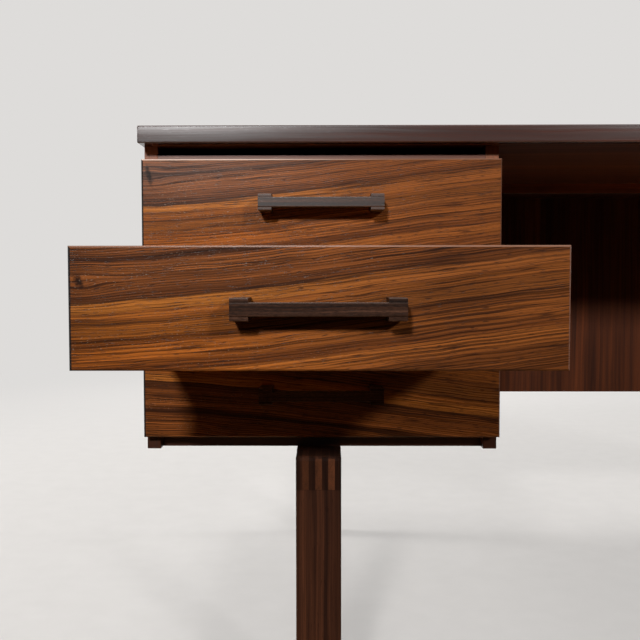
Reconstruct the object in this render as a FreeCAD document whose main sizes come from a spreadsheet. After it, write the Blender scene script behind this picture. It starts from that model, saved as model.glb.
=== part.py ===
import FreeCAD, Part
import os
import re
import Sketcher

# A freestanding writing desk: a veneered top with solid lippings on two pedestals of three drawers,
# an open bookcase across the back, and two trestles whose legs and rails are finger-jointed.
# Lengths are millimetres. X runs to the right as seen from the drawers, Y to the back and Z up.
# The origin is on the floor under the middle of the desk as modelled, with one drawer drawn out.

# Every size that can be set by itself
SIZES = {
    # Whole desk
    "desk_width": 1650,
    "desk_depth": 780,
    "desk_height": 728,
    # Desktop
    "top_thickness": 21,
    "top_overhang": 10,
    "top_back_overhang": 12,
    "top_end_overhang": 2.5,
    "lipping_width": 14,
    "lipping_round": 1.5,
    # Case
    "case_height": 378,
    "board_thickness": 17,
    "board_round": 1,
    "pedestal_width": 440,
    "shadow_gap": 11,
    "bookcase_depth": 172,
    "stretcher_depth": 99,
    "bottom_setback": 17,
    "shelf_setback": 4,
    "housing_depth": 5,
    "housing_stop": 12,
    # Drawer fronts
    "front_gap": 6,
    "front_drop": 18,
    "bottom_reveal": 18,
    "front_thickness": 20,
    "front_play": 0.5,
    "front_chamfer": 1.5,
    # Drawer boxes
    "box_back_gap": 45,
    "box_drop": 18,
    "box_lift": 8,
    "box_play": 1,
    "box_side_thickness": 13,
    "box_back_thickness": 12,
    "box_back_drop": 6,
    "box_round": 3,
    "box_housing": 8,
    "ply_thickness": 5,
    "ply_lift": 8,
    "ply_groove": 5,
    # Drawer runners
    "runner_height": 10,
    "runner_thickness": 7,
    "runner_inset": 25,
    "runner_back_gap": 39.5,
    "runner_play": 0.4,
    "groove_end_play": 5,
    # Handles
    "handle_length": 150,
    "handle_reach": 33,
    "block_width": 16,
    "block_height": 19.8,
    "block_round": 1.2,
    "bar_height": 12,
    "bar_depth": 12,
    "bar_round": 1.2,
    # Trestles
    "leg_width": 55,
    "leg_depth": 41,
    "rail_height": 41,
    "head_round": 5,
    "leg_round": 3,
    "trestle_offset": 3.5,
    "trestle_overhang": 18,
    # Screws and glides
    "screw_first": 148,
    "screw_last": 112,
    "screw_diameter": 5,
    "screw_play": 0.2,
    "screw_bite": 13,
    "head_diameter": 10,
    "head_height": 3,
    "head_recess": 15,
    "slot_width": 1.2,
    "slot_depth": 1.5,
    "glide_diameter": 26,
    "glide_height": 4,
    "glide_chamfer": 1,
    # How far the one open drawer is drawn out
    "drawn_out": 308,
}

# Fingers across a leg's head: the leg's own at both edges, with the rail's between them
FINGER_COUNT = 7
SCREWS_PER_RAIL = 3
DRAWER_LEVELS = ("top", "middle", "bottom")
GAPS_BETWEEN_FRONTS = len(DRAWER_LEVELS) - 1
DRAWN_DRAWER = "left_middle_drawer"

# Lengths and places that follow from the sizes
FORMULAS = {
    "half_case": "desk_width / 2 - top_end_overhang",
    "front_plane": "(drawn_out + handle_reach + top_overhang - desk_depth - trestle_overhang) / 2",
    "top_front": "front_plane - top_overhang",
    "top_back": "top_front + desk_depth",
    "top_underside": "desk_height - top_thickness",
    "case_bottom": "top_underside - case_height",
    "case_front": "front_plane + front_thickness + front_play",
    "case_back": "top_back - top_back_overhang",
    "partition_back": "case_back - shelf_setback - bookcase_depth",
    "partition_front": "partition_back - board_thickness",
    "pedestal_depth": "partition_front - case_front",
    "pedestal_bay": "pedestal_width - 2 * board_thickness",
    "fronts_height": "case_height - front_drop - bottom_reveal",
    "front_height": f"(fronts_height - {GAPS_BETWEEN_FRONTS} * front_gap) / {len(DRAWER_LEVELS)}",
    "box_length": "partition_front - front_plane - front_thickness - box_back_gap",
    "box_height": "front_height - box_lift - box_drop",
    "box_inset": "board_thickness + box_play",
    "box_inside": "pedestal_bay - 2 * box_play - 2 * box_side_thickness",
    "runner_length": "pedestal_depth - runner_inset - runner_back_gap",
    "groove_height": "runner_height + 2 * runner_play",
    "groove_depth": "runner_thickness - box_play + runner_play",
    "groove_lift": "(box_height - groove_height) / 2",
    "groove_stop": "runner_inset - groove_end_play",
    "finger_width": f"leg_width / {FINGER_COUNT}",
    "leg_height": "case_bottom - glide_height",
    "trestle_front": "top_front - trestle_overhang",
    "trestle_back": "top_back + trestle_overhang",
    "rail_length": "desk_depth + 2 * trestle_overhang",
    "first_screw": "trestle_front + screw_first",
    "last_screw": "trestle_back - screw_last",
    "screw_pitch": f"(last_screw - first_screw) / {SCREWS_PER_RAIL - 1}",
}
PEDESTAL_EDGE = {"left": "-half_case", "right": "half_case - pedestal_width"}
TRESTLE_EDGE = {
    "left": "-half_case + (pedestal_width - leg_width) / 2 - trestle_offset",
    "right": "half_case - (pedestal_width + leg_width) / 2 + trestle_offset",
}

# Two coordinates nearer than this count as the same
NEAR = 0.01

# The box limit that each side of a piece lies on
LIMITS = {
    "left": ("x", "XMin"),
    "right": ("x", "XMax"),
    "front": ("y", "YMin"),
    "back": ("y", "YMax"),
    "bottom": ("z", "ZMin"),
    "top": ("z", "ZMax"),
}

doc = FreeCAD.newDocument("desk")
sheet = doc.addObject("Spreadsheet::Sheet", "Sizes")
for row, (size_name, size_value) in enumerate(SIZES.items(), start=1):
    sheet.set(f"A{row}", size_name)
    sheet.set(f"B{row}", str(size_value))
    sheet.setAlias(f"B{row}", size_name)
doc.recompute()

# Finished pieces by node name
nodes = {}


def formula(text):
    """The text as an expression, with each size looked up in the sheet and each formula written out."""
    def look_up(found):
        word = found.group(0)
        if word in SIZES:
            return "Sizes." + word
        if word in FORMULAS:
            return "(" + formula(FORMULAS[word]) + ")"
        return word
    return re.sub(r"[a-z][a-z_]*", look_up, text)


def bind(thing, **lengths):
    """Binds each named property to its formula."""
    for name, text in lengths.items():
        thing.setExpression(name, formula(text))


def place(thing, x, y, z):
    """Binds a thing's place to three formulas."""
    for axis, text in (("x", x), ("y", y), ("z", z)):
        thing.setExpression(f"Placement.Base.{axis}", formula(text))


def new_body(name, x, y, z):
    """An empty body whose own origin lies at x, y, z."""
    body = doc.addObject("PartDesign::Body", name)
    body.Label = name
    place(body, x, y, z)
    return body


def new_sketch(body, name, plane):
    """An empty sketch on one of the body's own origin planes."""
    sketch = body.newObject("Sketcher::SketchObject", name)
    support = next(one for one in body.Origin.OriginFeatures if one.Role == plane)
    sketch.AttachmentSupport = (support, [""])
    sketch.MapMode = "FlatFace"
    return sketch


def fix_point(sketch, geometry, point, name, x, y):
    """Holds a point of the sketch at a place, each way either on an axis or at a bound distance."""
    for kind, axis, text in (("DistanceX", -2, x), ("DistanceY", -1, y)):
        if text == "0":
            sketch.addConstraint(Sketcher.Constraint("PointOnObject", geometry, point, axis))
            continue
        number = sketch.addConstraint(Sketcher.Constraint(kind, -1, 1, geometry, point, 1.0))
        sketch.renameConstraint(number, f"{name}_{kind[-1].lower()}")
        sketch.setExpression(f"Constraints.{name}_{kind[-1].lower()}", formula(text))


def draw_rectangle(sketch, name, width, height, x="0", y="0"):
    """A rectangle in the sketch with its lower left corner at x, y."""
    corners = [FreeCAD.Vector(*xy, 0) for xy in ((0, 0), (1, 0), (1, 1), (0, 1))]
    lines = [Part.LineSegment(corners[side], corners[(side + 1) % 4]) for side in range(4)]
    first = sketch.addGeometry(lines, False)[0]
    for side in range(4):
        sketch.addConstraint(Sketcher.Constraint("Coincident", first + side, 2, first + (side + 1) % 4, 1))
        direction = "Vertical" if side % 2 else "Horizontal"
        sketch.addConstraint(Sketcher.Constraint(direction, first + side))
    for side, kind, text in ((0, "DistanceX", width), (1, "DistanceY", height)):
        number = sketch.addConstraint(Sketcher.Constraint(kind, first + side, 1, first + side, 2, 1.0))
        sketch.renameConstraint(number, f"{name}_{kind}")
        sketch.setExpression(f"Constraints.{name}_{kind}", formula(text))
    fix_point(sketch, first, 1, name, x, y)


def draw_circle(sketch, name, diameter, x="0", y="0"):
    """A circle in the sketch with its centre at x, y."""
    circle = Part.Circle(FreeCAD.Vector(1, 1, 0), FreeCAD.Vector(0, 0, 1), 1)
    number = sketch.addGeometry(circle, False)
    constraint = sketch.addConstraint(Sketcher.Constraint("Diameter", number, 1.0))
    sketch.renameConstraint(constraint, f"{name}_diameter")
    sketch.setExpression(f"Constraints.{name}_diameter", formula(diameter))
    fix_point(sketch, number, 3, name, x, y)


def pad(body, sketch, length):
    """Pads the sketch along its normal."""
    feature = body.newObject("PartDesign::Pad", f"{body.Name}_pad")
    feature.Profile = sketch
    bind(feature, Length=length)
    return feature


def pocket(body, sketch, length, upward):
    """Cuts the sketch away from its plane, up or back from it when upward is set."""
    feature = body.newObject("PartDesign::Pocket", f"{body.Name}_pocket")
    feature.Profile = sketch
    feature.Reversed = upward
    bind(feature, Length=length)
    return feature


def repeat(body, features, sketch, axis, count, pitch):
    """Repeats cuts at an even pitch along an axis of their sketch."""
    pattern = body.newObject("PartDesign::LinearPattern", f"{body.Name}_pattern")
    pattern.Originals = features
    pattern.Direction = (sketch, [axis])
    pattern.Occurrences = count
    bind(pattern, Length=f"{count - 1} * ({pitch})")
    body.Tip = pattern
    return pattern


def cut_box(body, width, depth, height, x="0", y="0", z="0"):
    """Cuts a box out of the body, with its lowest corner at x, y, z of the body."""
    box = body.newObject("PartDesign::SubtractiveBox", f"{body.Name}_cut")
    bind(box, Length=width, Width=depth, Height=height)
    place(box, x, y, z)
    return box


def edges_where(feature, *meetings):
    """Names of the edges where two sides of the feature's box meet, such as ("front", "top")."""
    doc.recompute()
    limits = feature.Shape.BoundBox
    names = []
    for number, edge in enumerate(feature.Shape.Edges, start=1):
        middle = edge.CenterOfMass
        for meeting in meetings:
            gaps = [getattr(middle, LIMITS[side][0]) - getattr(limits, LIMITS[side][1]) for side in meeting]
            if max(map(abs, gaps)) < NEAR:
                names.append(f"Edge{number}")
    return names


def round_edges(body, radius, *meetings):
    """Rounds the edges where the named sides of the body meet."""
    base = body.Tip
    names = edges_where(base, *meetings)
    fillet = body.newObject("PartDesign::Fillet", f"{body.Name}_round")
    fillet.Base = (base, names)
    bind(fillet, Radius=radius)
    return fillet


def chamfer_edges(body, size, *meetings):
    """Chamfers the edges where the named sides of the body meet."""
    base = body.Tip
    names = edges_where(base, *meetings)
    chamfer = body.newObject("PartDesign::Chamfer", f"{body.Name}_chamfer")
    chamfer.Base = (base, names)
    bind(chamfer, Size=size)
    return chamfer


def board(name, width, depth, height, x, y, z):
    """A flat board: its plan drawn at its lowest corner and padded up by its height."""
    body = new_body(name, x, y, z)
    sketch = new_sketch(body, f"{name}_plan", "XY_Plane")
    draw_rectangle(sketch, "plan", width, depth)
    pad(body, sketch, height)
    return body


def node(name, *bodies):
    """Records one body, or a group of separate bodies, as the node of that name."""
    if len(bodies) == 1:
        nodes[name] = bodies[0]
        return
    group = doc.addObject("Part::Compound", name)
    group.Label = name
    group.Links = list(bodies)
    nodes[name] = group


# Desktop: a veneered board inside four solid lippings with rounded outer edges


def desktop():
    panel = board("desktop_panel", "desk_width - 2 * lipping_width", "desk_depth - 2 * lipping_width",
                  "top_thickness", "lipping_width - desk_width / 2", "top_front + lipping_width",
                  "top_underside")
    node("desktop_panel", panel)
    lippings = []
    for side, y in (("front", "top_front"), ("back", "top_back - lipping_width")):
        lipping = board(f"{side}_lipping", "desk_width", "lipping_width", "top_thickness",
                        "-desk_width / 2", y, "top_underside")
        round_edges(lipping, "lipping_round", (side, "top"), (side, "bottom"), (side, "left"),
                    (side, "right"), ("left", "top"), ("left", "bottom"), ("right", "top"),
                    ("right", "bottom"))
        lippings.append(lipping)
    for side, x in (("left", "-desk_width / 2"), ("right", "desk_width / 2 - lipping_width")):
        lipping = board(f"{side}_lipping", "lipping_width", "desk_depth - 2 * lipping_width", "top_thickness",
                        x, "top_front + lipping_width", "top_underside")
        round_edges(lipping, "lipping_round", (side, "top"), (side, "bottom"))
        lippings.append(lipping)
    node("desktop_lippings", *lippings)


# Case: sides with housings for the boards between them, the partition and the bookcase behind it


def case_side(name, x, is_outer, bay_side):
    """A case side; bay_side is the side of it on which its drawers run."""
    depth = "case_back - case_front" if is_outer else "pedestal_depth"
    side = board(name, "board_thickness", depth, "case_height", x, "case_front", "case_bottom")
    round_edges(side, "board_round", ("left", "front"), ("right", "front"))
    housing_x = "board_thickness - housing_depth" if bay_side == "right" else "0"
    cut_box(side, "housing_depth", "pedestal_depth - housing_stop", "board_thickness",
            housing_x, "housing_stop", "case_height - shadow_gap - board_thickness")
    cut_box(side, "housing_depth", "pedestal_depth - bottom_setback", "board_thickness",
            housing_x, "bottom_setback")
    if is_outer:
        cut_box(side, "housing_depth", "board_thickness", "case_height", housing_x, "pedestal_depth")
        cut_box(side, "housing_depth", "bookcase_depth", "board_thickness",
                housing_x, "partition_back - case_front")
    node(name, side)


def screw_holes(body, board_left, board_front, centres, first, count):
    """Blind holes for trestle screws in the underside of a board: a row of count behind each centre."""
    sketch = new_sketch(body, f"{body.Name}_screw_holes", "XY_Plane")
    for number, centre in enumerate(centres):
        draw_circle(sketch, f"hole{number}", "screw_diameter + 2 * screw_play",
                    f"{centre} - ({board_left})", f"{first} - ({board_front})")
    holes = pocket(body, sketch, "screw_bite", upward=True)
    if count > 1:
        repeat(body, [holes], sketch, "V_Axis", count, "screw_pitch")


def pedestal(side):
    edge = PEDESTAL_EDGE[side]
    far_edge = f"{edge} + pedestal_width - board_thickness"
    if side == "left":
        case_side("left_outer_side", edge, True, "right")
        case_side("left_inner_side", far_edge, False, "left")
    else:
        case_side("right_inner_side", edge, False, "right")
        case_side("right_outer_side", far_edge, True, "left")

    board_x = f"{edge} + board_thickness - housing_depth"
    board_width = "pedestal_bay + 2 * housing_depth"
    top = board(f"{side}_pedestal_top", board_width, "pedestal_depth", "board_thickness",
                board_x, "case_front", "top_underside - shadow_gap - board_thickness")
    for x in ("0", "pedestal_bay + housing_depth"):
        cut_box(top, "housing_depth", "housing_stop", "board_thickness", x)
    node(f"{side}_pedestal_top", top)

    bottom_front = "case_front + bottom_setback"
    bottom = board(f"{side}_pedestal_bottom", board_width, "pedestal_depth - bottom_setback",
                   "board_thickness", board_x, bottom_front, "case_bottom")
    trestle_middle = f"{TRESTLE_EDGE[side]} + leg_width / 2"
    screw_holes(bottom, board_x, bottom_front, [trestle_middle], "first_screw", SCREWS_PER_RAIL - 1)
    node(f"{side}_pedestal_bottom", bottom)

    runners = []
    for level, level_name in enumerate(DRAWER_LEVELS):
        z = f"{front_bottom(level)} + box_lift + groove_lift + runner_play"
        walls = (("left", f"{edge} + board_thickness"),
                 ("right", f"{edge} + pedestal_width - board_thickness - runner_thickness"))
        for wall, x in walls:
            runner = board(f"{side}_{level_name}_{wall}_runner", "runner_thickness", "runner_length",
                           "runner_height", x, "case_front + runner_inset", z)
            chamfer_edges(runner, "board_round", ("front", "top"), ("front", "bottom"))
            runners.append(runner)
    node(f"{side}_drawer_runners", *runners)


def case_back():
    width = "2 * (half_case - board_thickness + housing_depth)"
    left = "board_thickness - housing_depth - half_case"
    partition = board("partition_panel", width, "board_thickness", "case_height",
                      left, "partition_front", "case_bottom")
    node("partition_panel", partition)

    shelf = board("bookcase_bottom", width, "bookcase_depth", "board_thickness",
                  left, "partition_back", "case_bottom")
    round_edges(shelf, "board_round", ("back", "top"), ("back", "bottom"))
    trestle_middles = [f"{edge} + leg_width / 2" for edge in TRESTLE_EDGE.values()]
    screw_holes(shelf, left, "partition_back", trestle_middles, "last_screw", 1)
    node("bookcase_bottom", shelf)

    dividers = []
    places = (("left", "pedestal_width - board_thickness - half_case"),
              ("right", "half_case - pedestal_width"))
    for side, x in places:
        divider = board(f"{side}_divider", "board_thickness", "bookcase_depth",
                        "case_height - board_thickness", x, "partition_back",
                        "case_bottom + board_thickness")
        round_edges(divider, "board_round", ("back", "left"), ("back", "right"))
        dividers.append(divider)
    node("bookcase_dividers", *dividers)

    stretcher = board("kneehole_stretcher", "2 * (half_case - pedestal_width)", "stretcher_depth",
                      "board_thickness", "pedestal_width - half_case", "partition_front - stretcher_depth",
                      "top_underside - board_thickness")
    round_edges(stretcher, "board_round", ("front", "bottom"))
    node("kneehole_stretcher", stretcher)


# Trestles: a rail from front to back under each pedestal, finger-jointed to a leg at each end


def leg(name, x, outer):
    """A leg whose outer face, front or back, has rounded edges; its head is slotted for the rail."""
    y = "trestle_front" if outer == "front" else "trestle_back - leg_depth"
    body = board(name, "leg_width", "leg_depth", "leg_height", x, y, "glide_height")
    round_edges(body, "head_round", (outer, "top"))
    round_edges(body, "leg_round", (outer, "left"), (outer, "right"))
    sketch = new_sketch(body, f"{name}_slot", "XZ_Plane")
    draw_rectangle(sketch, "slot", "finger_width", "rail_height", "finger_width", "leg_height - rail_height")
    slot = pocket(body, sketch, "leg_depth", upward=False)
    repeat(body, [slot], sketch, "H_Axis", FINGER_COUNT // 2, "2 * finger_width")
    node(name, body)


def rail(name, x):
    """A rail whose two ends are slotted for the legs' fingers, with counterbored holes for its screws."""
    body = board(name, "leg_width", "rail_length", "rail_height", x, "trestle_front",
                 "case_bottom - rail_height")
    round_edges(body, "head_round", ("front", "top"), ("back", "top"))
    round_edges(body, "leg_round", ("left", "bottom"), ("right", "bottom"))
    sketch = new_sketch(body, f"{name}_slots", "XY_Plane")
    draw_rectangle(sketch, "front", "finger_width", "leg_depth")
    draw_rectangle(sketch, "back", "finger_width", "leg_depth", "0", "rail_length - leg_depth")
    slots = pocket(body, sketch, "rail_height", upward=True)
    repeat(body, [slots], sketch, "H_Axis", FINGER_COUNT // 2 + 1, "2 * finger_width")
    holes = []
    for part_name, diameter, depth in (("shank", "screw_diameter + 2 * screw_play", "rail_height"),
                                       ("recess", "head_diameter + 2 * screw_play", "head_recess")):
        circle = new_sketch(body, f"{name}_{part_name}", "XY_Plane")
        draw_circle(circle, part_name, diameter, "leg_width / 2", "screw_first")
        holes.append(pocket(body, circle, depth, upward=True))
    repeat(body, holes, circle, "V_Axis", SCREWS_PER_RAIL, "screw_pitch")
    node(name, body)


def screw(name, x, y):
    """A slotted screw that stands on its head in a rail's recess and bites into the board above."""
    body = new_body(name, x, y, "case_bottom - rail_height + head_recess - head_height")
    head = new_sketch(body, f"{name}_head", "XY_Plane")
    draw_circle(head, "head", "head_diameter")
    pad(body, head, "head_height")
    shank = new_sketch(body, f"{name}_shank", "XY_Plane")
    draw_circle(shank, "shank", "screw_diameter")
    pad(body, shank, "head_height + rail_height - head_recess + screw_bite - screw_play")
    cut_box(body, "head_diameter", "slot_width", "slot_depth", "-head_diameter / 2", "-slot_width / 2")
    return body


def glide(name, x, y):
    """A round glide under the middle of a leg."""
    body = new_body(name, x, y, "0")
    sketch = new_sketch(body, f"{name}_plan", "XY_Plane")
    draw_circle(sketch, "glide", "glide_diameter")
    disc = pad(body, sketch, "glide_height")
    doc.recompute()
    rims = [f"Edge{number}" for number, edge in enumerate(disc.Shape.Edges, start=1)
            if abs(edge.BoundBox.ZMax) < NEAR]
    chamfer = body.newObject("PartDesign::Chamfer", f"{name}_chamfer")
    chamfer.Base = (disc, rims)
    bind(chamfer, Size="glide_chamfer")
    return body


def trestles():
    screws = []
    glides = []
    for side, edge in TRESTLE_EDGE.items():
        leg(f"{side}_front_leg", edge, "front")
        leg(f"{side}_rear_leg", edge, "back")
        rail(f"{side}_trestle_rail", edge)
        middle = f"{edge} + leg_width / 2"
        for number in range(SCREWS_PER_RAIL):
            screws.append(screw(f"{side}_screw_{number + 1}", middle,
                                f"first_screw + {number} * screw_pitch"))
        for end, y in (("front", "trestle_front + leg_depth / 2"), ("rear", "trestle_back - leg_depth / 2")):
            glides.append(glide(f"{side}_{end}_glide", middle, y))
    node("trestle_screws", *screws)
    node("floor_glides", *glides)


# Drawers: a thick front with the box sides housed in its back, hung on the runners by side grooves


def front_bottom(level):
    """Height of the lower edge of a drawer front; level 0 is the top drawer."""
    return f"top_underside - front_drop - front_height - {level} * (front_height + front_gap)"


def drawer_handle(name, x, y, z):
    """A bar let into notches in the front of two end blocks, all centred on a front that starts at x, z."""
    left = f"{x} + (pedestal_width - handle_length) / 2"
    block_z = f"{z} + (front_height - block_height) / 2"
    blocks = []
    for side, block_x in (("left", left), ("right", f"{left} + handle_length - block_width")):
        block = board(f"{name}_{side}_block", "block_width", "handle_reach", "block_height",
                      block_x, f"{y} - handle_reach", block_z)
        round_edges(block, "block_round", ("front", "top"), ("front", "bottom"), (side, "top"),
                    (side, "bottom"))
        cut_box(block, "block_width", "bar_depth", "bar_height", "0", "0", "(block_height - bar_height) / 2")
        blocks.append(block)
    bar = board(f"{name}_bar", "handle_length", "bar_depth", "bar_height",
                left, f"{y} - handle_reach", f"{z} + (front_height - bar_height) / 2")
    round_edges(bar, "bar_round", ("front", "top"), ("front", "bottom"), ("back", "top"), ("back", "bottom"))
    node(name, *blocks, bar)


def drawer_box_side(name, x, y, z, outer):
    """A box side, grooved outside for the runner and inside for the ply bottom."""
    side = board(name, "box_side_thickness", "box_length + box_housing", "box_height", x, y, z)
    round_edges(side, "box_round", ("left", "top"), ("right", "top"))
    outside_x, inside_x = "0", "box_side_thickness - ply_groove"
    if outer == "right":
        outside_x, inside_x = "box_side_thickness - groove_depth", "0"
    cut_box(side, "groove_depth", "box_length - groove_stop", "groove_height",
            outside_x, "box_housing + groove_stop", "groove_lift")
    cut_box(side, "ply_groove", "box_length + ply_groove", "ply_thickness",
            inside_x, "box_housing - ply_groove", "ply_lift")
    node(name, side)


def drawer(name, x, y, z):
    """A drawer whose front has its lower left corner at x, z and its face at y."""
    front = board(f"{name}_front", "pedestal_width", "front_thickness", "front_height", x, y, z)
    chamfer_edges(front, "front_chamfer", ("front", "left"), ("front", "right"), ("front", "top"),
                  ("front", "bottom"))
    for housing_x in ("box_inset", "pedestal_width - box_inset - box_side_thickness"):
        cut_box(front, "box_side_thickness", "box_housing", "box_height",
                housing_x, "front_thickness - box_housing", "box_lift")
    cut_box(front, "box_inside", "ply_groove", "ply_thickness",
            "box_inset + box_side_thickness", "front_thickness - ply_groove", "box_lift + ply_lift")
    node(f"{name}_front", front)

    side_y = f"{y} + front_thickness - box_housing"
    side_z = f"{z} + box_lift"
    right_x = f"{x} + pedestal_width - box_inset - box_side_thickness"
    drawer_box_side(f"{name}_left_side", f"{x} + box_inset", side_y, side_z, "left")
    drawer_box_side(f"{name}_right_side", right_x, side_y, side_z, "right")

    inside_x = f"{x} + box_inset + box_side_thickness"
    back = board(f"{name}_back", "box_inside", "box_back_thickness",
                 "box_height - ply_lift - ply_thickness - box_back_drop",
                 inside_x, f"{y} + front_thickness + box_length - box_back_thickness",
                 f"{side_z} + ply_lift + ply_thickness")
    round_edges(back, "box_round", ("front", "top"), ("back", "top"))
    node(f"{name}_back", back)

    bottom = board(f"{name}_bottom", "box_inside + 2 * ply_groove", "box_length + ply_groove",
                   "ply_thickness", f"{inside_x} - ply_groove", f"{y} + front_thickness - ply_groove",
                   f"{side_z} + ply_lift")
    node(f"{name}_bottom", bottom)
    drawer_handle(f"{name}_handle", x, y, z)


def drawers():
    for side, edge in PEDESTAL_EDGE.items():
        for level, level_name in enumerate(DRAWER_LEVELS):
            name = f"{side}_{level_name}_drawer"
            face = "front_plane - drawn_out" if name == DRAWN_DRAWER else "front_plane"
            drawer(name, edge, face, front_bottom(level))


def check_everything():
    """Stops the build when an object failed, a cut removed nothing or a piece is empty or broken."""
    for thing in doc.Objects:
        if "Invalid" in thing.State or "Error" in thing.State:
            raise RuntimeError(f"{thing.Name} failed: {thing.State}")
        if thing.TypeId in ("PartDesign::Pocket", "PartDesign::SubtractiveBox"):
            if thing.BaseFeature.Shape.Volume <= thing.Shape.Volume:
                raise RuntimeError(f"{thing.Name} cuts nothing")
    for name, thing in nodes.items():
        if thing.Shape.isNull() or not thing.Shape.isValid():
            raise RuntimeError(f"{name} has no valid shape")


desktop()
for pedestal_side in PEDESTAL_EDGE:
    pedestal(pedestal_side)
case_back()
trestles()
drawers()
doc.recompute()
check_everything()

os.makedirs("parts", exist_ok=True)
for node_name, piece in nodes.items():
    piece.Shape.exportStep(f"parts/{node_name}.step")
print(len(nodes), "nodes", sum(len(piece.Shape.Solids) for piece in nodes.values()), "solids")
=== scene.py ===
"""The looks of the writing desk: its materials, small fittings, camera, lamps and floor."""
import math

import bmesh
import bpy
from mathutils import Matrix, Vector

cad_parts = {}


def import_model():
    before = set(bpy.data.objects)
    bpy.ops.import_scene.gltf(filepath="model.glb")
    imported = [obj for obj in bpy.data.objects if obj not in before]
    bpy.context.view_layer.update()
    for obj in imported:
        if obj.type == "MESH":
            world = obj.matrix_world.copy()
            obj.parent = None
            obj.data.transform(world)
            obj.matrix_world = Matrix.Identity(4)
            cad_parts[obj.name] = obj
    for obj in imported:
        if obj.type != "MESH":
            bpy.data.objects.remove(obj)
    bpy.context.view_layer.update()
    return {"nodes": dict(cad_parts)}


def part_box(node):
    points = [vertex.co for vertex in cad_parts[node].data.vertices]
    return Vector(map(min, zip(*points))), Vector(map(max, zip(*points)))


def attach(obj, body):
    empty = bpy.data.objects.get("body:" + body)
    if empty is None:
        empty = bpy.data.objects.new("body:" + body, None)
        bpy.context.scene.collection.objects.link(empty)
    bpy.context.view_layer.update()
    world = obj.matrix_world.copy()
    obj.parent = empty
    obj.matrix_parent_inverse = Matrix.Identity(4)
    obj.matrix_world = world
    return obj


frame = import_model()
nodes = frame["nodes"]

SIDES = ("left", "right")
LEVELS = ("top", "middle", "bottom")
# Millimetres in a metre
MM = 1000
# How deep a board's pores lie, in metres
RELIEF = 0.00004


def tone(red, green, blue):
    """A colour written in 0 to 255 steps, as the shader's linear colour."""
    def linear(value):
        value /= 255
        return value / 12.92 if value <= 0.04045 else ((value + 0.055) / 1.055) ** 2.4
    return (linear(red), linear(green), linear(blue), 1)


def box_mm(name):
    """The lowest and highest corner of a CAD node's box, in millimetres."""
    return [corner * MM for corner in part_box(name)]


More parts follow.
